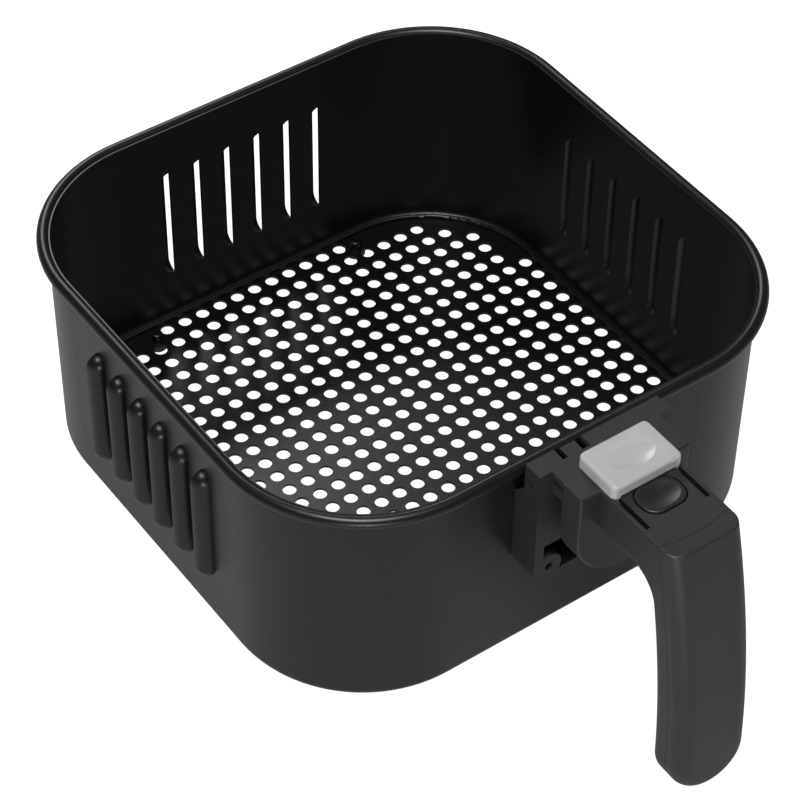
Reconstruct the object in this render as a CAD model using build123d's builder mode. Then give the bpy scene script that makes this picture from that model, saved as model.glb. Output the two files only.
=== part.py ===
"""Removable square air-fryer basket with its push-button handle.

Frame: millimetres, +Z up, the handle points along -Y. The origin is the middle of the
basket, on the surface that its four feet stand on. The basket is left-right symmetric
about X = 0, apart from the louvres, which all swirl the same way.
"""
import os
from math import hypot, sqrt

from build123d import *

os.makedirs("parts", exist_ok=True)

# ---- Basket -------------------------------------------------------------------------
basket_width = 205.6        # outside the walls, square
basket_corner_r = 51.0      # outside corner radius
basket_height = 96.4        # top of the rolled rim
sheet = 1.0                 # steel sheet of the walls and the floor
bottom_edge_r = 3.5         # outside radius where the walls turn in under the floor
rim_r = 2.3                 # outside radius of the rolled rim
rim_wire_r = 1.1
rim_slit = 0.7              # gap left open along the curl of the rim

# ---- Perforated floor ---------------------------------------------------------------
foot_height = 3.0           # feet hold the floor this far up
hole_pitch = 8.0
hole_d = 5.2
hole_rows = 25
hole_corner_rows = 6        # rows rounded off at each corner of the pattern
floor_edge_gap = 2.8        # from the floor opening to the inside of the wall
floor_overlap = 1.0         # how far the floor plate reaches under the turned-in edge
lip_r = 0.9                 # rolled lip around the floor opening

# ---- Feet ---------------------------------------------------------------------------
foot_r = 4.0
foot_edge_r = 1.4
foot_x = 46.0               # middle of each foot
foot_y = 93.6
foot_row_x = 6              # the hole on these rows is left out beside each foot
foot_row_y = 12
rivet_r = 1.6
rivet_head_r = 2.2
rivet_edge_r = 0.8
rivet_head_h = 3.4          # the head stands up as a stud

# ---- Louvres ------------------------------------------------------------------------
louvre_count = 6
louvre_pitch = 13.3
louvre_length = 51.5
louvre_r = 5.0
louvre_base = 24.4          # lower end above the feet's plane
louvre_shift = 1.8          # each row sits this far towards its openings

# ---- Handle bracket -----------------------------------------------------------------
deck_height = 98.5          # top of the bracket, the collar and the neck
bracket_width = 54.0
bracket_depth = 12.1        # from the basket wall to the front of the web
bracket_drop = 52.0         # from the top to the underside of the bottom lip
bracket_skin = 2.5
bracket_corner_r = 5.0
lug_t = 3.8                 # thickness of each side plate
web_drop = 35.5             # from the top to the lower edge of the web
saddle_width = 44.2         # narrow top plate over the pan wall
pan_gap = 6.3               # between the web and the collar, for the pan's front wall
rim_relief = 4.6            # from the basket wall back to the upper side plates
boss_r = 5.2
screw_r = 1.5               # bracket screws, M3
screw_head_r = 3.2
screw_head_h = 2.2
screw_clearance = 0.1
washer_t = 0.8
insert_r = 2.5
insert_length = 7.0
lower_screws = (20.6, 51.7)  # X offset and height
upper_screws = (11.5, 84.0)

# ---- Collar and neck ----------------------------------------------------------------
collar_width = 44.6
collar_straight = 20
collar_edge_r = 0.8
collar_depth = 9.3
skin = 2.5                  # moulded wall of the handle
neck_depth = 18.5           # deck to the underside of the neck
neck_curve_r = 12.0         # inside curve between neck and grip
collar_screw_r = 1.5
collar_screw_x = 18.0
collar_screw_drop = 8.0     # below the deck
collar_boss_r = 3.9

# ---- Grip ---------------------------------------------------------------------------
grip_width = 29.4
grip_depth = 16.0
grip_length = 108.8         # deck to the lowest point
grip_out = 36.6             # front of the collar to the top front edge of the grip
grip_lean = 15.6            # how much further out the lower end stands
grip_bow = 3.9              # rise of the front face's arc
grip_edge_r = 5.5
cover_depth = 8.0           # front face to the parting line
deck_edge_r = 0.8
seam_bow = 2.1              # the seam on the deck bulges forward by this much
parting_gap = 0.15
grip_screw_drops = (36.0, 92.0)   # below the deck
grip_screw_r = 1.5
grip_screw_head_r = 2.8
grip_boss_r = 4.2

# ---- Release button and latch -------------------------------------------------------
button_length_x = 16.9
button_length_y = 12.9
button_corner_r = 5.4
button_gap = 0.45
button_proud = 0.5
button_from_collar = 11.9   # front of the collar to the button's middle
button_flange = 0.75
pivot_drop = 8.5            # latch pivot below the deck
pivot_from_collar = 4.5     # behind the front of the collar
latch_arm = 14.5            # pivot to the pad under the button
latch_width = 8.0
latch_t = 3.0
latch_pad_r = 1.5
latch_hook_drop = 10.0
pin_r = 1.5
pin_clearance = 0.05
spring_wire_r = 0.3
spring_r = 2.3
spring_turns = 4
spring_from_pivot = 10.0

# ---- Button guard -------------------------------------------------------------------
guard_width = 28.0
guard_length = 19.5
guard_height = 5.2
guard_skin = 1.6
guard_foot = 2.6            # width of the skirt's foot at each front corner
guard_rear_gap = 4.2        # overlap of the guard on the bracket's top plate
rail_x = 12.2
rail_slot = 1.7
rail_undercut = 3.2
rail_neck_t = 2.2           # deck left over the undercut
rail_undercut_h = 2.0
rail_length = 29.3
slide_gap = 0.3

# ---- Derived places -----------------------------------------------------------------
wall_out = basket_width / 2
wall_in = wall_out - sheet
floor_top = foot_height + sheet
floor_half = wall_in - floor_edge_gap + floor_overlap
lip_half = wall_in - floor_edge_gap + lip_r
rim_half = wall_out + rim_r - 0.8
rim_z = basket_height - rim_r
web_front = wall_out + bracket_depth         # distances out from the origin along -Y
collar_back = web_front + pan_gap
collar_front = collar_back + collar_depth
grip_top = collar_front + grip_out
neck_bottom = deck_height - neck_depth
grip_tip = deck_height - grip_length
pivot = (-(collar_front - pivot_from_collar), deck_height - pivot_drop)
pad_y = pivot[0] - latch_arm
button_y = -(collar_front + button_from_collar)
rail_start = collar_back + 1.0
rail_end = rail_start + rail_length
rail_block_in = rail_x - rail_undercut / 2 - 1.4
rail_block_h = rail_neck_t + rail_undercut_h + 2.0
mirror_x = (-1, 1)


def grip_circle():
    """Centre (y, z) and radius of the arc of the grip's front face in side view."""
    top_y, top_z = -grip_top, deck_height
    low_y, low_z = -grip_top - grip_lean, grip_tip
    half_chord = hypot(low_y - top_y, low_z - top_z) / 2
    radius = (half_chord**2 + grip_bow**2) / (2 * grip_bow)
    inward = ((top_z - low_z) / (2 * half_chord), (low_y - top_y) / (2 * half_chord))
    reach = radius - grip_bow
    return (top_y + low_y) / 2 + inward[0] * reach, (top_z + low_z) / 2 + inward[1] * reach, radius


def grip_y(z, inset=0.0):
    """Y of the grip's front face at height z, moved in towards the basket by inset."""
    centre_y, centre_z, radius = grip_circle()
    return centre_y - sqrt(radius**2 - (z - centre_z) ** 2) + inset


def corner_rows(row):
    """How far a hole row runs into the rounded corner of the pattern."""
    return max(abs(row) - hole_corner_rows, 0)


def finish(builder, name):
    """Name a finished piece and write it out."""
    builder.part.label = name
    export_step(builder.part, f"parts/{name}.step")


# ---- Basket shell: deep-drawn wall, rolled rim, pressed louvres ----------------------
with BuildPart() as basket_hollow:
    with BuildSketch(Plane.XY.offset(floor_top + sheet)):
        RectangleRounded(2 * wall_in, 2 * wall_in, basket_corner_r - sheet)
    extrude(amount=basket_height)
    fillet(basket_hollow.edges().group_by(Axis.Z)[0], bottom_edge_r - sheet)

# One louvre in its own frame: X towards its opening, Y out of the wall, Z up.
with BuildPart() as louvre_hood:
    with BuildSketch(Plane.YZ):
        for radius, mode in ((louvre_r, Mode.ADD), (louvre_r - sheet, Mode.SUBTRACT)):
            with BuildLine():
                end = louvre_length / 2 - louvre_r
                CenterArc((0, end), radius, 0, 90)
                CenterArc((0, -end), radius, 270, 90)
                Line((radius, end), (radius, -end))
                Line((0, end + radius), (0, -end - radius))
            make_face(mode=mode)
    revolve(axis=Axis.Z, revolution_arc=90)

with BuildPart() as louvre_slot:
    with BuildSketch(Plane.XZ):
        SlotOverall(louvre_length - 2 * sheet, 2 * (louvre_r - sheet), rotation=90)
        with Locations((louvre_r, 0)):
            Rectangle(2 * louvre_r, louvre_length, mode=Mode.SUBTRACT)
    extrude(amount=sheet, both=True)

louvre_places = []
for turn in (90, 0, -90):
    for number in range(louvre_count):
        along = (number - (louvre_count - 1) / 2) * louvre_pitch + louvre_shift
        place = Location((0, 0, 0), (0, 0, turn)) * Location(
            (along, wall_out - sheet / 2, louvre_base + louvre_length / 2)
        )
        louvre_places.append(place)

bracket_screw_places = []
for screw_x, screw_z in (lower_screws, upper_screws):
    for side in mirror_x:
        bracket_screw_places.append((side * screw_x, screw_z))

with BuildPart() as basket_shell:
    with BuildSketch(Plane.XY.offset(floor_top)):
        RectangleRounded(basket_width, basket_width, basket_corner_r)
    extrude(amount=rim_z + rim_r / 2 - floor_top)
    fillet(basket_shell.edges().group_by(Axis.Z)[0], bottom_edge_r)
    add(basket_hollow.part, mode=Mode.SUBTRACT)
    with BuildSketch(Plane.XY.offset(floor_top)):
        opening = 2 * (wall_in - floor_edge_gap)
        RectangleRounded(opening, opening, basket_corner_r - sheet - floor_edge_gap)
    extrude(amount=sheet, mode=Mode.SUBTRACT)
    with Locations(*louvre_places):
        add(louvre_slot.part, mode=Mode.SUBTRACT)
    with Locations(*louvre_places):
        add(louvre_hood.part)
    with BuildSketch(Plane.XZ.offset(wall_in - sheet)):
        with Locations(*bracket_screw_places):
            Circle(screw_r + screw_clearance)
    extrude(amount=3 * sheet, mode=Mode.SUBTRACT)


def square_loop(half_width, corner_r, height):
    """Closed rounded-square path that starts in the middle of the handle side."""
    run = half_width - corner_r
    with BuildLine(Plane.XY.offset(height)) as loop:
        Line((0, -half_width), (run, -half_width))
        CenterArc((run, -run), corner_r, -90, 90)
        Line((half_width, -run), (half_width, run))
        CenterArc((run, run), corner_r, 0, 90)
        Line((run, half_width), (-run, half_width))
        CenterArc((-run, run), corner_r, 90, 90)
        Line((-half_width, run), (-half_width, -run))
        CenterArc((-run, -run), corner_r, 180, 90)
        Line((-run, -half_width), (0, -half_width))
    return loop.wire()


rim_corner_r = basket_corner_r + rim_half - wall_out
rim_start = Plane((0, -rim_half, rim_z), x_dir=(0, -1, 0), z_dir=(-1, 0, 0))
with BuildPart() as rim_curl:
    with BuildSketch(rim_start):
        Circle(rim_r)
        Circle(rim_r - sheet, mode=Mode.SUBTRACT)
        with Locations((-rim_r / 3, -rim_r)):
            Rectangle(rim_slit, 2 * rim_r - sheet, mode=Mode.SUBTRACT)
    sweep(path=square_loop(rim_half, rim_corner_r, rim_z))

lip_start = Plane((0, -lip_half, floor_top + sheet), x_dir=(0, -1, 0), z_dir=(-1, 0, 0))
with BuildPart() as floor_lip:
    with BuildSketch(lip_start):
        Circle(lip_r)
    sweep(path=square_loop(lip_half, basket_corner_r - sheet - floor_edge_gap + lip_r, floor_top + sheet))
    with BuildSketch(Plane.XY.offset(floor_top - lip_r)):
        Rectangle(basket_width, basket_width)
    extrude(amount=lip_r, mode=Mode.SUBTRACT)

with basket_shell:
    add(rim_curl.part)
    add(floor_lip.part)
finish(basket_shell, "basket_shell")

# ---- Rim wire: steel wire that the rim is rolled around ------------------------------
with BuildPart() as rim_wire:
    with BuildSketch(rim_start):
        Circle(rim_wire_r)
    sweep(path=square_loop(rim_half, rim_corner_r, rim_z))
finish(rim_wire, "rim_wire")

# ---- Floor plate: flat perforated sheet under the turned-in edge --------
hole_reach = (hole_rows - 1) // 2
foot_places = []
for side_x in mirror_x:
    for side_y in mirror_x:
        foot_places.append((side_x * foot_x, side_y * foot_y))

hole_places = []
for column in range(-hole_reach, hole_reach + 1):
    for row in range(-hole_reach, hole_reach + 1):
        inside = hypot(corner_rows(column), corner_rows(row)) <= hole_corner_rows + 0.05
        beside_foot = (abs(column), abs(row)) == (foot_row_x, foot_row_y)
        if inside and not beside_foot:
            hole_places.append((column * hole_pitch, row * hole_pitch))

with BuildPart() as floor_plate:
    with BuildSketch(Plane.XY.offset(foot_height)):
        RectangleRounded(2 * floor_half, 2 * floor_half, basket_corner_r - wall_out + floor_half)
        with Locations(*hole_places):
            Circle(hole_d / 2, mode=Mode.SUBTRACT)
        with Locations(*foot_places):
            Circle(rivet_r, mode=Mode.SUBTRACT)
    extrude(amount=sheet)
finish(floor_plate, "floor_plate")

# ---- Feet: silicone discs under the floor, each on one rivet -------------------------
with BuildPart() as floor_feet:
    with BuildSketch(Plane.XY):
        with Locations(*foot_places):
            Circle(foot_r)
    extrude(amount=foot_height)
    fillet(floor_feet.edges().group_by(Axis.Z)[0], foot_edge_r)
    with BuildSketch(Plane.XY.offset(foot_height)):
        with Locations(*foot_places):
            Circle(rivet_r)
    extrude(amount=-foot_height / 2, mode=Mode.SUBTRACT)
finish(floor_feet, "floor_feet")

with BuildPart() as foot_rivets:
    with BuildSketch(Plane.XY.offset(foot_height / 2)):
        with Locations(*foot_places):
            Circle(rivet_r)
    extrude(amount=foot_height / 2 + sheet)
    with BuildSketch(Plane.XY.offset(floor_top)):
        with Locations(*foot_places):
            Circle(rivet_head_r)
    extrude(amount=rivet_head_h)
    fillet(foot_rivets.edges().group_by(Axis.Z)[-1], rivet_edge_r)
finish(foot_rivets, "foot_rivets")

# ---- Handle bracket: moulded frame screwed to the front wall -------------------------
lug_x = bracket_width / 2 - lug_t
with BuildPart() as handle_bracket:
    # side plates, stepped back under the rolled rim
    for side in mirror_x:
        with BuildSketch(Plane.YZ.offset(side * (bracket_width / 2 - lug_t / 2))):
            with BuildLine():
                Polyline(
                    (-wall_out - rim_relief, deck_height),
                    (-web_front, deck_height),
                    (-web_front, deck_height - bracket_drop),
                    (-wall_out, deck_height - bracket_drop),
                    (-wall_out, rim_z - 3 * rim_r - rim_relief),
                    (-wall_out - rim_relief, rim_z - 3 * rim_r),
                    close=True,
                )
            make_face()
        extrude(amount=lug_t / 2, both=True)
    # top plate and the narrower saddle over the pan wall
    with BuildSketch(Plane.XY.offset(deck_height)):
        with Locations((0, -(wall_out + rim_relief + web_front) / 2)):
            Rectangle(bracket_width, web_front - wall_out - rim_relief)
        with Locations((0, -(web_front - bracket_skin + collar_back) / 2)):
            Rectangle(saddle_width, pan_gap + bracket_skin)
    extrude(amount=-bracket_skin)
    # web, bottom lip and bosses
    with BuildSketch(Plane.XZ.offset(web_front)):
        with Locations((0, deck_height - web_drop / 2)):
            Rectangle(2 * lug_x + 1, web_drop)
    extrude(amount=-bracket_skin)
    with BuildSketch(Plane.XZ.offset(web_front)):
        with Locations((0, deck_height - bracket_drop + 1)):
            Rectangle(bracket_width - 2, 2)
    extrude(amount=-bracket_depth)
    lower_corners = handle_bracket.edges().filter_by(Axis.Y).group_by(Axis.Z)[0]
    fillet(lower_corners, bracket_corner_r)
    with BuildSketch(Plane.XZ.offset(web_front)):
        with Locations(*bracket_screw_places):
            Circle(boss_r)
    extrude(amount=-bracket_depth)
    # sleeves that carry the collar across the pan gap
    with BuildSketch(Plane.XZ.offset(web_front)):
        for side in mirror_x:
            with Locations((side * collar_screw_x, deck_height - collar_screw_drop)):
                Circle(collar_boss_r)
    extrude(amount=pan_gap)
    # bores for screws and inserts
    with BuildSketch(Plane.XZ.offset(wall_out)):
        with Locations(*bracket_screw_places):
            Circle(screw_r + screw_clearance)
    extrude(amount=bracket_depth, mode=Mode.SUBTRACT)
    with BuildSketch(Plane.XZ.offset(wall_out)):
        with Locations(*bracket_screw_places):
            Circle(insert_r)
    extrude(amount=insert_length + 0.5, mode=Mode.SUBTRACT)
    with BuildSketch(Plane.XZ.offset(web_front - bracket_skin)):
        for side in mirror_x:
            with Locations((side * collar_screw_x, deck_height - collar_screw_drop)):
                Circle(collar_screw_r + screw_clearance)
    extrude(amount=bracket_skin + pan_gap, mode=Mode.SUBTRACT)
    # window that the latch hook swings into
    with BuildSketch(Plane.XZ.offset(web_front)):
        with Locations((0, pivot[1] - latch_hook_drop / 2 - 2)):
            Rectangle(latch_width + 1.6, latch_hook_drop)
    extrude(amount=-bracket_skin, mode=Mode.SUBTRACT)
    # ramped pocket in the top plate, left of the middle
    with BuildSketch(Plane.XY.offset(deck_height)):
        with Locations((-10.2, -(wall_out + rim_relief + 2.6))):
            Rectangle(11.0, 5.2)
    extrude(amount=-0.7, mode=Mode.SUBTRACT)
    with BuildSketch(Plane.XY.offset(deck_height)):
        for slot_x in (-14.6, -6.2):
            with Locations((slot_x, -(wall_out + rim_relief + 2.6))):
                Rectangle(2.4, 5.2)
    extrude(amount=-bracket_skin, mode=Mode.SUBTRACT)
    # ejector marks on the side plates
    for side in mirror_x:
        with BuildSketch(Plane.YZ.offset(side * bracket_width / 2)):
            with Locations((-wall_out - 7.5, deck_height - 7), (-wall_out - 6, deck_height - 44)):
                Circle(1.2)
        extrude(amount=-side * 0.4, mode=Mode.SUBTRACT)
finish(handle_bracket, "handle_bracket")

# ---- Bracket fixings: washers and screws inside the basket, inserts in the bosses ----
with BuildPart() as bracket_inserts:
    with BuildSketch(Plane.XZ.offset(wall_out)):
        with Locations(*bracket_screw_places):
            Circle(insert_r)
            Circle(screw_r + 0.1, mode=Mode.SUBTRACT)
    extrude(amount=insert_length)
finish(bracket_inserts, "bracket_inserts")

with BuildPart() as bracket_washers:
    with BuildSketch(Plane.XZ.offset(wall_in)):
        with Locations(*bracket_screw_places):
            Circle(screw_head_r + 0.9)
            Circle(screw_r + 0.1, mode=Mode.SUBTRACT)
    extrude(amount=-washer_t)
finish(bracket_washers, "bracket_washers")

with BuildPart() as bracket_screws:
    with BuildSketch(Plane.XZ.offset(wall_in - washer_t)):
        with Locations(*bracket_screw_places):
            Circle(screw_head_r)
    extrude(amount=-screw_head_h)
    fillet(bracket_screws.edges().group_by(Axis.Y)[-1], 0.8)
    with BuildSketch(Plane.XZ.offset(wall_in - washer_t)):
        with Locations(*bracket_screw_places):
            Circle(screw_r)
    extrude(amount=washer_t + sheet + insert_length)
    with BuildSketch(Plane.XZ.offset(wall_in - washer_t - screw_head_h)):
        for screw_x, screw_z in bracket_screw_places:
            with Locations((screw_x, screw_z)):
                Rectangle(3.8, 0.8)
                Rectangle(0.8, 3.8)
    extrude(amount=1.2, mode=Mode.SUBTRACT)
finish(bracket_screws, "bracket_screws")


# ---- Handle: solid outer form, shared by the body and the cover ----------------------
def side_profile(inset):
    """Neck and grip in side view, pulled in by inset on every side."""
    low = grip_tip - 5
    middle = (low + neck_bottom) / 2
    inner = grip_depth - inset
    underside = neck_bottom + inset
    top = deck_height - inset
    back = -(collar_front - skin - 0.5)
    bend = (grip_y(underside, inner), underside)
    with BuildSketch(Plane.YZ) as profile:
        with BuildLine():
            ThreePointArc(
                (grip_y(top, inset), top), (grip_y(middle, inset), middle), (grip_y(low, inset), low)
            )
            Line((grip_y(low, inset), low), (grip_y(low, inner), low))
            ThreePointArc((grip_y(low, inner), low), (grip_y(middle, inner), middle), bend)
            Polyline(bend, (back, underside), (back, top), (grip_y(top, inset), top))
        make_face()
        corner = profile.vertices().sort_by_distance((*bend, 0))[0]
        fillet(corner, neck_curve_r + inset)
    return profile.sketch


def front_profile(inset):
    """Grip seen from the front: straight sides and a round lower end."""
    radius = grip_width / 2
    with BuildSketch(Plane.XZ) as profile:
        with Locations((0, (deck_height + 5 + grip_tip + radius) / 2)):
            Rectangle(2 * (radius - inset), deck_height + 5 - grip_tip - radius)
        with Locations((0, grip_tip + radius)):
            Circle(radius - inset)
    return profile.sketch


def neck_and_grip(inset):
    """Neck and grip as one solid, pulled in by inset."""
    with BuildPart() as form:
        extrude(side_profile(inset), amount=grip_width / 2 - inset, both=True)
        extrude(front_profile(inset), amount=grip_top + grip_lean + 20, mode=Mode.INTERSECT)
    return form.part


with BuildPart() as handle_form:
    add(neck_and_grip(0))
    front_face = handle_form.faces().sort_by(Axis.Y)[0]
    front_rim = front_face.edges().filter_by(lambda edge: edge.center().Z < deck_height - 1)
    fillet(front_rim, grip_edge_r)
    inner_faces = handle_form.faces().filter_by(
        lambda face: abs(face.center().X) < 1
        and face.center().Z < neck_bottom + 1
        and face.center().Y > grip_y(face.center().Z, grip_depth - 2)
    )
    inner_rim = inner_faces.edges().filter_by(
        lambda edge: abs(edge.center().X) > 1 or edge.center().Z < grip_tip + grip_width / 4
    )
    fillet(inner_rim, grip_edge_r - 1.5)
    deck_rim = handle_form.faces().sort_by(Axis.Z)[-1].edges().sort_by(Axis.Y)[:-1]
    fillet(deck_rim, deck_edge_r)


def cover_zone(gap):
    """Space in front of the parting surface, with the bulged seam in the deck's skin."""
    low, high = grip_tip - 10, deck_height + 10
    inset = cover_depth + gap
    far = -(grip_top + grip_lean + 20)
    seam_r = ((grip_width / 2) ** 2 + seam_bow**2) / (2 * seam_bow)
    with BuildPart() as zone:
        with BuildSketch(Plane.YZ):
            with BuildLine():
                middle = (low + high) / 2
                ThreePointArc(
                    (grip_y(low, inset), low),
                    (grip_y(middle, inset), middle),
                    (grip_y(high, inset), high),
                )
                Polyline((grip_y(high, inset), high), (far, high), (far, low), (grip_y(low, inset), low))
            make_face()
        extrude(amount=grip_width, both=True)
        with BuildSketch(Plane.XY.offset(deck_height - skin + gap)):
            with Locations((0, grip_y(deck_height, cover_depth) - seam_bow + seam_r + gap)):
                Circle(seam_r)
        extrude(amount=20, mode=Mode.SUBTRACT)
    return zone.part


# Rails for the guard hang under the deck on both sides of the button.
with BuildPart() as rail_blocks:
    with BuildSketch(Plane.XY.offset(deck_height - 0.5)):
        for side in mirror_x:
            rail_block_x = side * (rail_block_in + grip_width / 2 - 0.5) / 2
            with Locations((rail_block_x, -(collar_back + rail_end + 2) / 2)):
                Rectangle(grip_width / 2 - 0.5 - rail_block_in, rail_end + 2 - collar_back)
    extrude(amount=-(rail_block_h - 0.5))

with BuildPart() as handle_hollow:
    add(neck_and_grip(skin))
    add(rail_blocks.part, mode=Mode.SUBTRACT)

grip_screw_places = [deck_height - drop for drop in grip_screw_drops]

# ---- Handle body: collar, neck, deck and the inner half of the grip ------------------
def collar_outline(inset):
    """Collar seen from the front: flat top, straight sides and a round lower end."""
    radius = collar_width / 2 - inset
    centre_z = deck_height - collar_straight
    with BuildSketch(Plane.XZ.offset(collar_back)) as outline:
        with Locations((0, centre_z)):
            Circle(radius)
        with Locations((0, centre_z + radius)):
            Rectangle(2 * radius, 2 * radius, mode=Mode.SUBTRACT)
        with Locations((0, (centre_z + deck_height - inset) / 2)):
            Rectangle(2 * radius, deck_height - inset - centre_z)
    return outline.sketch


with BuildPart() as collar_form:
    extrude(collar_outline(0), amount=collar_depth)
    fillet(collar_form.faces().sort_by(Axis.Y)[0].edges(), collar_edge_r)

with BuildPart() as handle_body:
    add(handle_form.part)
    add(collar_form.part)
    add(handle_hollow.part, mode=Mode.SUBTRACT)
    # collar cavity, open towards the pan gap
    extrude(collar_outline(skin), amount=collar_depth - skin, mode=Mode.SUBTRACT)
    with BuildSketch(Plane.XY.offset(deck_height - 0.5)):
        for side in mirror_x:
            rail_block_x = side * (rail_block_in + grip_width / 2 - 0.5) / 2
            with Locations((rail_block_x, -(collar_back + collar_front) / 2)):
                Rectangle(grip_width / 2 - 0.5 - rail_block_in, collar_depth)
    extrude(amount=-(rail_block_h - 0.5))
    # bosses that the collar screws bite into
    with BuildSketch(Plane.XZ.offset(collar_back)):
        for side in mirror_x:
            with Locations((side * collar_screw_x, deck_height - collar_screw_drop)):
                Circle(collar_boss_r)
    extrude(amount=collar_depth - skin / 2)
    with BuildSketch(Plane.XZ.offset(collar_back)):
        for side in mirror_x:
            with Locations((side * collar_screw_x, deck_height - collar_screw_drop)):
                Circle(collar_screw_r)
    extrude(amount=collar_depth - skin, mode=Mode.SUBTRACT)
    # ribs that hold the latch pin
    for side in mirror_x:
        with BuildSketch(Plane.YZ.offset(side * (latch_width / 2 + 0.5 + skin / 2))):
            with Locations((pivot[0], pivot[1] - 6.5)):
                Rectangle(2 * skin + 1, 2 * skin + 14)
            with Locations(((pivot[0] - collar_front) / 2, pivot[1] - 11)):
                Rectangle(collar_front + pivot[0] - 1, 9)
            with Locations(pivot):
                Circle(pin_r, mode=Mode.SUBTRACT)
        extrude(amount=skin / 2, both=True)
    # bosses for the screws that hold the cover
    for screw_z in grip_screw_places:
        with BuildSketch(Plane.XZ.offset(-grip_y(screw_z, cover_depth / 2))):
            with Locations((0, screw_z)):
                Circle(grip_boss_r)
        extrude(amount=-(grip_depth - cover_depth / 2 - skin / 2))
        with BuildSketch(Plane.XZ.offset(-grip_y(screw_z, grip_depth + 1))):
            with Locations((0, screw_z)):
                Circle(grip_screw_r + 0.2)
        extrude(amount=grip_depth, mode=Mode.SUBTRACT)
        with BuildSketch(Plane.XZ.offset(-grip_y(screw_z, grip_depth + 1))):
            with Locations((0, screw_z)):
                Circle(grip_screw_head_r + 0.3)
        extrude(amount=1 + 3.5, mode=Mode.SUBTRACT)
    # deck: button opening and the guard's undercut rails
    with BuildSketch(Plane.XY.offset(deck_height)):
        with Locations((0, button_y)):
            RectangleRounded(
                button_length_x + 2 * button_gap,
                button_length_y + 2 * button_gap,
                button_corner_r + button_gap,
            )
    extrude(amount=-skin, mode=Mode.SUBTRACT)
    for side in mirror_x:
        for width, top_z, depth in (
            (rail_slot, deck_height, rail_neck_t),
            (rail_undercut, deck_height - rail_neck_t, rail_undercut_h),
        ):
            with BuildSketch(Plane.XY.offset(top_z)):
                with Locations((side * rail_x, -(rail_start + rail_end) / 2)):
                    Rectangle(width, rail_length)
            extrude(amount=-depth, mode=Mode.SUBTRACT)
    add(cover_zone(parting_gap), mode=Mode.SUBTRACT)
finish(handle_body, "handle_body")

# ---- Collar screws: driven through the web and the sleeves into the collar -----------
with BuildPart() as collar_screws:
    with BuildSketch(Plane.XZ.offset(web_front - bracket_skin)):
        for side in mirror_x:
            with Locations((side * collar_screw_x, deck_height - collar_screw_drop)):
                Circle(grip_screw_head_r)
    extrude(amount=-1.8)
    with BuildSketch(Plane.XZ.offset(web_front - bracket_skin)):
        for side in mirror_x:
            with Locations((side * collar_screw_x, deck_height - collar_screw_drop)):
                Circle(collar_screw_r)
    extrude(amount=bracket_skin + pan_gap + collar_depth - skin)
finish(collar_screws, "collar_screws")

# ---- Grip cover: outer half of the grip ----------------------------------------------
with BuildPart() as grip_cover:
    add(handle_form.part)
    add(handle_hollow.part, mode=Mode.SUBTRACT)
    for screw_z in grip_screw_places:
        with BuildSketch(Plane.XZ.offset(-grip_y(screw_z, cover_depth + 2))):
            with Locations((0, screw_z)):
                Circle(grip_boss_r)
        extrude(amount=cover_depth + 2 - skin / 2)
        with BuildSketch(Plane.XZ.offset(-grip_y(screw_z, cover_depth + 2))):
            with Locations((0, screw_z)):
                Circle(grip_screw_r)
        extrude(amount=cover_depth + 2 - skin - 0.5, mode=Mode.SUBTRACT)
    add(cover_zone(0), mode=Mode.INTERSECT)
finish(grip_cover, "grip_cover")

with BuildPart() as grip_screws:
    for screw_z in grip_screw_places:
        head_y = -grip_y(screw_z, grip_depth - 3.5)
        with BuildSketch(Plane.XZ.offset(head_y)):
            with Locations((0, screw_z)):
                Circle(grip_screw_head_r)
        extrude(amount=-1.8)
        with BuildSketch(Plane.XZ.offset(head_y)):
            with Locations((0, screw_z)):
                Circle(grip_screw_r)
        extrude(amount=grip_depth - 3.5 - skin - 0.6)
        with BuildSketch(Plane.XZ.offset(head_y - 1.8)):
            with Locations((0, screw_z)):
                Rectangle(3.0, 0.6)
                Rectangle(0.6, 3.0)
        extrude(amount=1.0, mode=Mode.SUBTRACT)
finish(grip_screws, "grip_screws")

def finger_dish(half_x, half_y, depth, place):
    """Lens that cuts an oval finger dish into a flat top at the given place."""
    radius = (half_y**2 + depth**2) / (2 * depth)
    with BuildPart() as lens:
        Sphere(radius)
        scale(by=(half_x / half_y, 1, 1))
    return Pos(*place) * Pos(0, 0, radius - depth) * lens.part


# ---- Release button: dished cap with a retaining flange and a foot on the latch ------
button_top = deck_height + button_proud
flange_top = deck_height - skin - 0.2
pad_top = pivot[1] + latch_pad_r
with BuildPart() as release_button:
    with BuildSketch(Plane.XY.offset(button_top)):
        with Locations((0, button_y)):
            RectangleRounded(button_length_x, button_length_y, button_corner_r)
    extrude(amount=-(button_top - flange_top))
    fillet(release_button.faces().sort_by(Axis.Z)[-1].edges(), 0.7)
    with BuildSketch(Plane.XY.offset(flange_top)):
        with Locations((0, button_y)):
            RectangleRounded(
                button_length_x + 2 * button_flange,
                button_length_y + 2 * button_flange,
                button_corner_r + button_flange,
            )
    extrude(amount=-1.3)
    with BuildSketch(Plane.XY.offset(flange_top - 1.3)):
        with Locations((0, pad_y)):
            Rectangle(latch_width - 1, 2.4)
    extrude(amount=-(flange_top - 1.3 - pad_top - 0.3))
    add(
        finger_dish(button_length_x / 2 - 1.2, button_length_y / 2 - 1.2, 0.8, (0, button_y, button_top)),
        mode=Mode.SUBTRACT,
    )
finish(release_button, "release_button")

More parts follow.
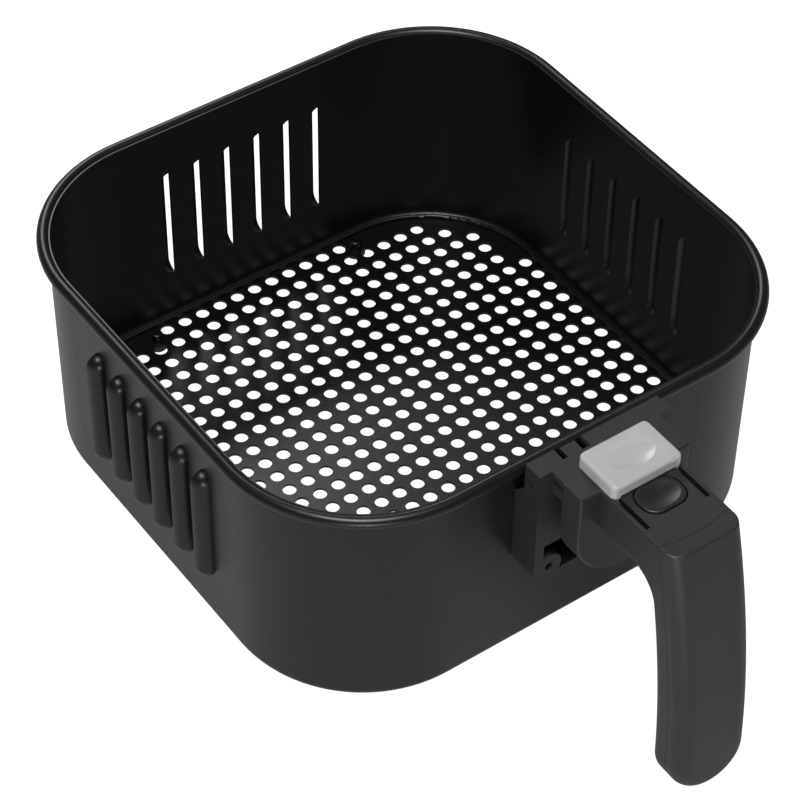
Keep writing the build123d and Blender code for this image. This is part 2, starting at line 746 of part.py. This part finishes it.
# ---- Latch lever, pin and spring ------------------------------------------------------
hook_y = -(web_front + pan_gap / 2)
with BuildPart() as latch_lever:
    with BuildSketch(Plane.YZ):
        with Locations(((pad_y + hook_y) / 2, pivot[1])):
            Rectangle(hook_y - pad_y, latch_t)
        with Locations(pivot):
            Circle(pin_r + 1.6)
        with Locations((pad_y, pivot[1])):
            Circle(latch_pad_r)
        with BuildLine():
            Polyline(
                (hook_y - 1.3, pivot[1] + latch_t / 2),
                (hook_y + 1.3, pivot[1] + latch_t / 2),
                (hook_y + 1.3, pivot[1] - latch_hook_drop),
                (hook_y - 0.6, pivot[1] - latch_hook_drop),
                (hook_y - 2.4, pivot[1] - latch_hook_drop + 3.2),
                (hook_y - 1.3, pivot[1] - latch_hook_drop + 3.2),
                close=True,
            )
        make_face()
        with Locations(pivot):
            Circle(pin_r + pin_clearance, mode=Mode.SUBTRACT)
    extrude(amount=latch_width / 2, both=True)
finish(latch_lever, "latch_lever")

with BuildPart() as latch_pin:
    with BuildSketch(Plane.YZ):
        with Locations(pivot):
            Circle(pin_r)
    extrude(amount=latch_width / 2 + 0.5 + skin + 0.5, both=True)
finish(latch_pin, "latch_pin")

spring_y = pivot[0] - spring_from_pivot
spring_base = neck_bottom + skin
spring_height = pivot[1] - latch_t / 2 - spring_base
spring_pitch = (spring_height - 2 * spring_wire_r) / spring_turns
with BuildPart() as latch_spring:
    coil = Helix(
        spring_pitch,
        spring_height - 2 * spring_wire_r,
        spring_r,
        center=(0, spring_y, spring_base + spring_wire_r),
    )
    with BuildSketch(Plane(coil @ 0, z_dir=coil % 0)):
        Circle(spring_wire_r)
    sweep(path=coil)
finish(latch_spring, "latch_spring")

# ---- Button guard: clear cap that slides forward over the button ----------------------
guard_back = collar_back - guard_rear_gap
guard_y = -(guard_back + guard_length / 2)
guard_base = deck_height + slide_gap
runner_length = guard_back + guard_length - 0.5 - rail_start - slide_gap
with BuildPart() as button_guard:
    with BuildSketch(Plane.XY.offset(guard_base)):
        with Locations((0, guard_y)):
            RectangleRounded(guard_width, guard_length, 2.2)
    extrude(amount=guard_height)
    fillet(button_guard.faces().sort_by(Axis.Z)[-1].edges(), 1.4)
    with BuildSketch(Plane.XY.offset(guard_base)):
        with Locations((0, guard_y)):
            Rectangle(2 * (rail_x - rail_slot / 2 - 0.4), guard_length - 2 * guard_skin)
    extrude(amount=guard_height - guard_skin, mode=Mode.SUBTRACT)
    # the front skirt stands clear of the button
    with BuildSketch(Plane.XY.offset(guard_base)):
        with Locations((0, guard_y - guard_length / 2)):
            Rectangle(guard_width - 2 * guard_foot, 3 * guard_skin)
    extrude(amount=button_proud + 0.4, mode=Mode.SUBTRACT)
    add(finger_dish(9, 6, 0.9, (0, guard_y, guard_base + guard_height)), mode=Mode.SUBTRACT)
    runner_y = -(rail_start + slide_gap + runner_length / 2)
    for side in mirror_x:
        with BuildSketch(Plane.XY.offset(guard_base + 0.5)):
            with Locations((side * rail_x, runner_y)):
                Rectangle(rail_slot - 2 * slide_gap, runner_length)
        extrude(amount=-(0.5 + slide_gap + rail_neck_t + slide_gap))
        with BuildSketch(Plane.XY.offset(deck_height - rail_neck_t - slide_gap)):
            with Locations((side * rail_x, runner_y)):
                Rectangle(rail_undercut - 2 * slide_gap, runner_length)
        extrude(amount=-(rail_undercut_h - 2 * slide_gap))
finish(button_guard, "button_guard")
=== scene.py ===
"""Studio scene of a removable air-fryer basket with a push-button handle."""

from math import cos, radians, sin

import bpy
from mathutils import Matrix, Vector


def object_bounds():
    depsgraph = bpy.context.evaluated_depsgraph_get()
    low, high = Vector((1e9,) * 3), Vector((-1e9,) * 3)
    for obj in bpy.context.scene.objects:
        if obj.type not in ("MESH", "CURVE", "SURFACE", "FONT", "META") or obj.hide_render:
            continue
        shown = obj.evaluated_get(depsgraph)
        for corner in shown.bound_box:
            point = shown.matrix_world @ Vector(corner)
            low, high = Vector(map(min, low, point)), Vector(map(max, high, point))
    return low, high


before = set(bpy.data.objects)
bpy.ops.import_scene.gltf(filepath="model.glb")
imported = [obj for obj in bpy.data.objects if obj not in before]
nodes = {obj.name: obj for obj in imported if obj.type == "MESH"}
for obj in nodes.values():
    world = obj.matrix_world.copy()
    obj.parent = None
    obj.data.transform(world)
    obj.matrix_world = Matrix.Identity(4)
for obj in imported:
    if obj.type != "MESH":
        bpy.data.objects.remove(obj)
cad_low, cad_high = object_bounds()
bpy.ops.object.select_all(action="DESELECT")


# ---- Basket shell --------------------------------------------------------------------
# The real shell is deep drawn from 1 mm steel sheet. Its rim is rolled over a wire, its
# louvres are lanced, and it is sprayed and baked with a black non-stick coat.
def new_group(name, inputs, outputs):
    """Shader node group with the named float or colour sockets."""
    group = bpy.data.node_groups.new(name, "ShaderNodeTree")
    for label, kind, value in inputs:
        socket = group.interface.new_socket(name=label, in_out="INPUT", socket_type=kind)
        socket.default_value = value
    for label, kind in outputs:
        group.interface.new_socket(name=label, in_out="OUTPUT", socket_type=kind)
    return group


def add_node(tree, kind, **settings):
    """New node with its properties and, by name, its unlinked input values."""
    node = tree.nodes.new(kind)
    for key, value in settings.items():
        if key == "values":
            for label, number in value.items():
                node.inputs[label].default_value = number
        else:
            setattr(node, key, value)
    return node


FINISH_OUTPUTS = (
    ("Color", "NodeSocketColor"),
    ("Roughness", "NodeSocketFloat"),
    ("Height", "NodeSocketFloat"),
)


def build_sprayed_coat():
    """Baked spray coat: orange peel, fine mineral specks and broad clouds of gloss."""
    group = new_group(
        "Sprayed coat",
        [
            ("Base", "NodeSocketColor", (0.02, 0.02, 0.02, 1)),
            ("Speck", "NodeSocketColor", (0.08, 0.08, 0.08, 1)),
            ("Speck Amount", "NodeSocketFloat", 0.3),
            ("Roughness", "NodeSocketFloat", 0.35),
        ],
        FINISH_OUTPUTS,
    )
    entry = add_node(group, "NodeGroupInput")
    leave = add_node(group, "NodeGroupOutput")
    place = add_node(group, "ShaderNodeTexCoord")
    specks = add_node(group, "ShaderNodeTexVoronoi", values={"Scale": 1400.0})
    speck_mask = add_node(
        group,
        "ShaderNodeMapRange",
        values={"From Min": 0.05, "From Max": 0.28, "To Min": 1.0, "To Max": 0.0},
    )
    speck_share = add_node(group, "ShaderNodeMath", operation="MULTIPLY")
    tint = add_node(group, "ShaderNodeMix", data_type="RGBA")
    peel = add_node(group, "ShaderNodeTexNoise", values={"Scale": 420.0, "Detail": 3.0})
    clouds = add_node(group, "ShaderNodeTexNoise", values={"Scale": 11.0, "Detail": 4.0})
    cloud_gloss = add_node(
        group,
        "ShaderNodeMapRange",
        values={"From Min": 0.3, "From Max": 0.7, "To Min": -0.035, "To Max": 0.045},
    )
    gloss = add_node(group, "ShaderNodeMath", operation="ADD")
    link = group.links.new
    for texture in (specks, peel, clouds):
        link(place.outputs["Object"], texture.inputs["Vector"])
    link(specks.outputs["Distance"], speck_mask.inputs["Value"])
    link(speck_mask.outputs["Result"], speck_share.inputs[0])
    link(entry.outputs["Speck Amount"], speck_share.inputs[1])
    link(speck_share.outputs["Value"], tint.inputs["Factor"])
    link(entry.outputs["Base"], tint.inputs["A"])
    link(entry.outputs["Speck"], tint.inputs["B"])
    link(tint.outputs["Result"], leave.inputs["Color"])
    link(clouds.outputs["Fac"], cloud_gloss.inputs["Value"])
    link(cloud_gloss.outputs["Result"], gloss.inputs[0])
    link(entry.outputs["Roughness"], gloss.inputs[1])
    link(gloss.outputs["Value"], leave.inputs["Roughness"])
    link(peel.outputs["Fac"], leave.inputs["Height"])
    return group


def new_finish(name, group, values, bump, **sockets):
    """Material whose shader takes colour, roughness and bump from a node group."""
    material = bpy.data.materials.new(name)
    material.use_nodes = True
    tree = material.node_tree
    shader = tree.nodes["Principled BSDF"]
    for label, value in sockets.items():
        shader.inputs[label.replace("_", " ")].default_value = value
    pattern = add_node(tree, "ShaderNodeGroup", node_tree=group, values=values)
    relief = add_node(tree, "ShaderNodeBump", values={"Strength": bump[0], "Distance": bump[1]})
    tree.links.new(pattern.outputs["Color"], shader.inputs["Base Color"])
    tree.links.new(pattern.outputs["Roughness"], shader.inputs["Roughness"])
    tree.links.new(pattern.outputs["Height"], relief.inputs["Height"])
    tree.links.new(relief.outputs["Normal"], shader.inputs["Normal"])
    return material


def dress(name, material):
    """Gives a CAD node its material."""
    mesh = nodes[name].data
    mesh.materials.clear()
    mesh.materials.append(material)


sprayed_coat = build_sprayed_coat()
shell_coat = new_finish(
    "Shell coat",
    sprayed_coat,
    {
        "Base": (0.004, 0.004, 0.0042, 1),
        "Speck": (0.02, 0.02, 0.021, 1),
        "Speck Amount": 0.2,
        "Roughness": 0.34,
    },
    (0.1, 0.0003),
    Specular_IOR_Level=0.45,
)
dress("basket_shell", shell_coat)


# ---- Rim wire ------------------------------------------------------------------------
# The real wire is hard drawn steel, bent to the rim's shape and closed inside the roll,
# where it stiffens the edge.
def build_worked_steel():
    """Drawn or headed steel: fine lines, faint stains and a soft grey."""
    group = new_group(
        "Worked steel",
        [
            ("Base", "NodeSocketColor", (0.6, 0.6, 0.6, 1)),
            ("Roughness", "NodeSocketFloat", 0.3),
            ("Line Scale", "NodeSocketFloat", 900.0),
        ],
        FINISH_OUTPUTS,
    )
    entry = add_node(group, "NodeGroupInput")
    leave = add_node(group, "NodeGroupOutput")
    place = add_node(group, "ShaderNodeTexCoord")
    lines = add_node(group, "ShaderNodeTexNoise", values={"Detail": 2.0})
    stains = add_node(group, "ShaderNodeTexNoise", values={"Scale": 160.0, "Detail": 4.0})
    shade = add_node(
        group,
        "ShaderNodeMapRange",
        values={"From Min": 0.3, "From Max": 0.7, "To Min": 0.8, "To Max": 1.0},
    )
    tint = add_node(
        group, "ShaderNodeMix", data_type="RGBA", blend_type="MULTIPLY", values={"Factor": 1.0}
    )
    spread = add_node(
        group,
        "ShaderNodeMapRange",
        values={"From Min": 0.3, "From Max": 0.7, "To Min": -0.06, "To Max": 0.08},
    )
    gloss = add_node(group, "ShaderNodeMath", operation="ADD")
    link = group.links.new
    link(place.outputs["Object"], lines.inputs["Vector"])
    link(place.outputs["Object"], stains.inputs["Vector"])
    link(entry.outputs["Line Scale"], lines.inputs["Scale"])
    link(stains.outputs["Fac"], shade.inputs["Value"])
    link(shade.outputs["Result"], tint.inputs["B"])
    link(entry.outputs["Base"], tint.inputs["A"])
    link(tint.outputs["Result"], leave.inputs["Color"])
    link(lines.outputs["Fac"], spread.inputs["Value"])
    link(spread.outputs["Result"], gloss.inputs[0])
    link(entry.outputs["Roughness"], gloss.inputs[1])
    link(gloss.outputs["Value"], leave.inputs["Roughness"])
    link(lines.outputs["Fac"], leave.inputs["Height"])
    return group


worked_steel = build_worked_steel()
drawn_wire = new_finish(
    "Drawn wire",
    worked_steel,
    {"Base": (0.42, 0.42, 0.43, 1), "Roughness": 0.35, "Line Scale": 700.0},
    (0.1, 0.0002),
    Metallic=1.0,
)
dress("rim_wire", drawn_wire)


# ---- Floor plate ---------------------------------------------------------------------
# The real floor is a sheet punched in a close square pattern. It sits under the shell's
# turned-in edge, and is coated like the shell but smoother.
plate_coat = new_finish(
    "Plate coat",
    sprayed_coat,
    {
        "Base": (0.004, 0.004, 0.0042, 1),
        "Speck": (0.018, 0.018, 0.019, 1),
        "Speck Amount": 0.2,
        "Roughness": 0.28,
    },
    (0.1, 0.0003),
    Specular_IOR_Level=0.45,
)
dress("floor_plate", plate_coat)


# ---- Feet and their rivets -----------------------------------------------------------
# The real feet are moulded silicone discs that keep the floor off the pan. Each is held
# by a coated rivet, whose head stands up inside as a small stud.
def build_moulded_grain():
    """Spark-eroded mould grain: fine pits, with slight flow clouds in colour and gloss."""
    group = new_group(
        "Moulded grain",
        [
            ("Base", "NodeSocketColor", (0.05, 0.05, 0.05, 1)),
            ("Grain Scale", "NodeSocketFloat", 1600.0),
            ("Roughness", "NodeSocketFloat", 0.5),
            ("Variation", "NodeSocketFloat", 0.12),
        ],
        FINISH_OUTPUTS,
    )
    entry = add_node(group, "NodeGroupInput")
    leave = add_node(group, "NodeGroupOutput")
    place = add_node(group, "ShaderNodeTexCoord")
    grain = add_node(group, "ShaderNodeTexNoise", values={"Detail": 2.0, "Roughness": 0.6})
    flow = add_node(group, "ShaderNodeTexNoise", values={"Scale": 34.0, "Detail": 5.0})
    low = add_node(group, "ShaderNodeMath", operation="SUBTRACT", values={0: 1.0})
    shade = add_node(
        group, "ShaderNodeMapRange", values={"From Min": 0.25, "From Max": 0.75, "To Max": 1.0}
    )
    tint = add_node(
        group, "ShaderNodeMix", data_type="RGBA", blend_type="MULTIPLY", values={"Factor": 1.0}
    )
    spread = add_node(
        group,
        "ShaderNodeMapRange",
        values={"From Min": 0.3, "From Max": 0.7, "To Min": -0.05, "To Max": 0.06},
    )
    gloss = add_node(group, "ShaderNodeMath", operation="ADD")
    link = group.links.new
    link(place.outputs["Object"], grain.inputs["Vector"])
    link(place.outputs["Object"], flow.inputs["Vector"])
    link(entry.outputs["Grain Scale"], grain.inputs["Scale"])
    link(entry.outputs["Variation"], low.inputs[1])
    link(flow.outputs["Fac"], shade.inputs["Value"])
    link(low.outputs["Value"], shade.inputs["To Min"])
    link(shade.outputs["Result"], tint.inputs["B"])
    link(entry.outputs["Base"], tint.inputs["A"])
    link(tint.outputs["Result"], leave.inputs["Color"])
    link(flow.outputs["Fac"], spread.inputs["Value"])
    link(spread.outputs["Result"], gloss.inputs[0])
    link(entry.outputs["Roughness"], gloss.inputs[1])
    link(gloss.outputs["Value"], leave.inputs["Roughness"])
    link(grain.outputs["Fac"], leave.inputs["Height"])
    return group


moulded_grain = build_moulded_grain()
black_silicone = new_finish(
    "Black silicone",
    moulded_grain,
    {"Base": (0.02, 0.02, 0.02, 1), "Grain Scale": 900.0, "Roughness": 0.6, "Variation": 0.2},
    (0.2, 0.0002),
)
dress("floor_feet", black_silicone)
dress("foot_rivets", plate_coat)

# ---- Handle bracket and its fixings --------------------------------------------------
# The real bracket is a heat-proof glass-filled moulding. Four pan-head screws pull it
# against the wall through washers inside the basket, into brass inserts in its bosses.
bracket_plastic = new_finish(
    "Bracket plastic",
    moulded_grain,
    {"Base": (0.016, 0.016, 0.017, 1), "Grain Scale": 1500.0, "Roughness": 0.5, "Variation": 0.16},
    (0.35, 0.0002),
)
dress("handle_bracket", bracket_plastic)
headed_steel = new_finish(
    "Headed steel",
    worked_steel,
    {"Base": (0.5, 0.5, 0.51, 1), "Roughness": 0.3, "Line Scale": 1200.0},
    (0.1, 0.0002),
    Metallic=1.0,
)
for fixing in ("bracket_screws", "bracket_washers", "collar_screws", "grip_screws"):
    dress(fixing, headed_steel)
turned_brass = new_finish(
    "Turned brass",
    worked_steel,
    {"Base": (0.72, 0.5, 0.22, 1), "Roughness": 0.3, "Line Scale": 1500.0},
    (0.1, 0.0002),
    Metallic=1.0,
)
dress("bracket_inserts", turned_brass)

# ---- Handle body and grip cover ------------------------------------------------------
# The real handle is two mouldings in dark grey heat-proof plastic with a fine grain.
# The body carries the collar, deck and inner grip, and the cover closes it from outside.
handle_plastic = new_finish(
    "Handle plastic",
    moulded_grain,
    {"Base": (0.02, 0.02, 0.021, 1), "Grain Scale": 1700.0, "Roughness": 0.44, "Variation": 0.12},
    (0.3, 0.0002),
)
dress("handle_body", handle_plastic)
dress("grip_cover", handle_plastic)

# ---- Release button ------------------------------------------------------------------
# The real button is a smooth moulded cap with a shallow finger dish, which sits in the
# deck and drops when it is pressed.
button_plastic = new_finish(
    "Button plastic",
    moulded_grain,
    {"Base": (0.016, 0.016, 0.017, 1), "Grain Scale": 2200.0, "Roughness": 0.34, "Variation": 0.08},
    (0.12, 0.0002),
)
dress("release_button", button_plastic)

# ---- Latch lever, pin and spring -----------------------------------------------------
# The real lever is a stamped steel hook on a plain pin. The coil spring under its front
# arm keeps the hook closed and the button up.
spring_steel = new_finish(
    "Spring steel",
    worked_steel,
    {"Base": (0.55, 0.55, 0.56, 1), "Roughness": 0.25, "Line Scale": 1000.0},
    (0.1, 0.0002),
    Metallic=1.0,
)
for latch_part in ("latch_lever", "latch_pin", "latch_spring"):
    dress(latch_part, spring_steel)

# ---- Button guard --------------------------------------------------------------------
# The real guard is moulded in milky clear plastic with polished edges. It slides on two
# rails over the button, and its top has an oval thumb dish.
guard_plastic = new_finish(
    "Guard plastic",
    moulded_grain,
    {"Base": (0.93, 0.93, 0.93, 1), "Grain Scale": 1200.0, "Roughness": 0.16, "Variation": 0.04},
    (0.06, 0.0002),
    Transmission_Weight=0.6,
    IOR=1.49,
)
dress("button_guard", guard_plastic)

# ---- Studio --------------------------------------------------------------------------
# A white floor that lights the object only softly, a large softbox overhead, one behind
# for the rim, and a low one in front for the corner.
FLOOR_SIZE = 12.0
FULL_GLOW, BOUNCED_GLOW = 1.0, 0.22
ROOM_STRENGTH = 0.12
bpy.ops.mesh.primitive_plane_add(size=FLOOR_SIZE, location=(0, 0, cad_low.z))
floor = bpy.context.object
floor.name = "studio_floor"
floor_paint = bpy.data.materials.new("Studio floor")
floor_paint.use_nodes = True
floor_tree = floor_paint.node_tree
floor_shader = floor_tree.nodes["Principled BSDF"]
floor_shader.inputs["Base Color"].default_value = (0.3, 0.3, 0.3, 1)
floor_shader.inputs["Roughness"].default_value = 0.9
floor_shader.inputs["Emission Color"].default_value = (1, 1, 1, 1)
seen_by = add_node(floor_tree, "ShaderNodeLightPath")
bounced = add_node(floor_tree, "ShaderNodeMath", operation="MAXIMUM")
floor_glow = add_node(floor_tree, "ShaderNodeMapRange", values={"To Min": FULL_GLOW, "To Max": BOUNCED_GLOW})
floor_tree.links.new(seen_by.outputs["Is Diffuse Ray"], bounced.inputs[0])
floor_tree.links.new(seen_by.outputs["Is Glossy Ray"], bounced.inputs[1])
floor_tree.links.new(bounced.outputs["Value"], floor_glow.inputs["Value"])
floor_tree.links.new(floor_glow.outputs["Result"], floor_shader.inputs["Emission Strength"])
floor.data.materials.append(floor_paint)

world = bpy.data.worlds.new("Studio room")
world.use_nodes = True
room = world.node_tree.nodes["Background"]
room.inputs["Color"].default_value = (1, 1, 1, 1)
room.inputs["Strength"].default_value = ROOM_STRENGTH
bpy.context.scene.world = world
bpy.context.scene.view_settings.view_transform = "Standard"


def softbox(name, place, target, size, power):
    """Square area light that faces its target."""
    light = bpy.data.lights.new(name, "AREA")
    light.shape = "SQUARE"
    light.size = size
    light.energy = power
    lamp = bpy.data.objects.new(name, light)
    bpy.context.scene.collection.objects.link(lamp)
    lamp.location = place
    lamp.rotation_mode = "QUATERNION"
    lamp.rotation_quaternion = (Vector(target) - Vector(place)).to_track_quat("-Z", "Y")


softbox("low_key", (-0.42, -0.62, 0.05), (-0.05, -0.08, 0.03), 0.16, 1.2)
softbox("back", (0.3, 1.0, 0.9), (0, 0, 0.05), 0.5, 5.0)
softbox("top", (-0.35, -0.35, 1.4), (0, 0, 0.05), 0.6, 16.0)

# ---- Camera --------------------------------------------------------------------------
# A long lens from the front left and above, with a slight roll.
LENS = 125.9
STAND = (-0.4206, -0.5796, 0.7516)
azimuth, elevation, roll = radians(-36.03), radians(45.52), radians(0.86)
back = Vector((sin(azimuth) * cos(elevation), -cos(azimuth) * cos(elevation), sin(elevation)))
right = Vector((cos(azimuth), sin(azimuth), 0))
up = back.cross(right)
camera_data = bpy.data.cameras.new("camera")
camera_data.sensor_width = 36.0
camera_data.lens = LENS
camera_data.clip_start = 0.05
camera_data.clip_end = 50.0
camera = bpy.data.objects.new("camera", camera_data)
bpy.context.scene.collection.objects.link(camera)
side_axis = cos(roll) * right + sin(roll) * up
up_axis = -sin(roll) * right + cos(roll) * up
turn = Matrix((side_axis, up_axis, back)).transposed().to_4x4()
camera.matrix_world = Matrix.Translation(STAND) @ turn
bpy.context.scene.camera = camera
